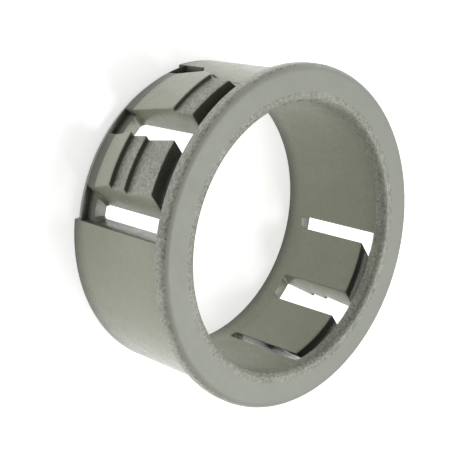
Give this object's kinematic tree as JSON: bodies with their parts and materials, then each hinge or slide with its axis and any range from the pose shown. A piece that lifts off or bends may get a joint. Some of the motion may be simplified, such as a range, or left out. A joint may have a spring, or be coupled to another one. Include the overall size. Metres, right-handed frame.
{
  "type": "snap bushing",
  "caption": "Flanged snap bushing for a round panel hole: thin slotted barrel with stepped spring fingers that catch behind the panel.",
  "frame": {"origin": "centre of the rear rim, on the bore axis", "axes": "+Z along the bore towards the flange, -Y and +Y along the middle of the two mould slides that cut the finger pairs"},
  "size_m": [0.033, 0.0334, 0.0141],
  "materials": {
    "flange_nylon": "fine spark-eroded texture",
    "barrel_nylon": "satin, smooth steel",
    "finger_nylon": "smooth ramp, grained steps"
  },
  "bodies": {
    "body": {"flange_ring": "flange_nylon", "rear_collar": "barrel_nylon", "side_wall_left": "barrel_nylon", "side_wall_right": "barrel_nylon"},
    "front_narrow_finger": {"front_narrow_finger": "finger_nylon"},
    "front_wide_finger": {"front_wide_finger": "finger_nylon"},
    "back_narrow_finger": {"back_narrow_finger": "finger_nylon"},
    "back_wide_finger": {"back_wide_finger": "finger_nylon"}
  },
  "joints": [
    {"name": "front_narrow_flex", "type": "hinge", "parent": "body", "child": "front_narrow_finger", "pos_m": [0.00704, -0.01272, 0.00215], "axis": [-0.8749, -0.4843, 0], "range_deg": [0, 12], "stiffness_Nm_per_rad": 1},
    {"name": "front_wide_flex", "type": "hinge", "parent": "body", "child": "front_wide_finger", "pos_m": [-0.0019, -0.01437, 0.00215], "axis": [-0.9914, 0.1311, 0], "range_deg": [0, 12], "stiffness_Nm_per_rad": 1},
    {"name": "back_narrow_flex", "type": "hinge", "parent": "body", "child": "back_narrow_finger", "pos_m": [-0.00704, 0.01272, 0.00215], "axis": [0.8749, 0.4843, 0], "range_deg": [0, 12], "stiffness_Nm_per_rad": 1},
    {"name": "back_wide_flex", "type": "hinge", "parent": "body", "child": "back_wide_finger", "pos_m": [0.0019, 0.01437, 0.00215], "axis": [0.9914, -0.1311, 0], "range_deg": [0, 12], "stiffness_Nm_per_rad": 1}
  ]
}
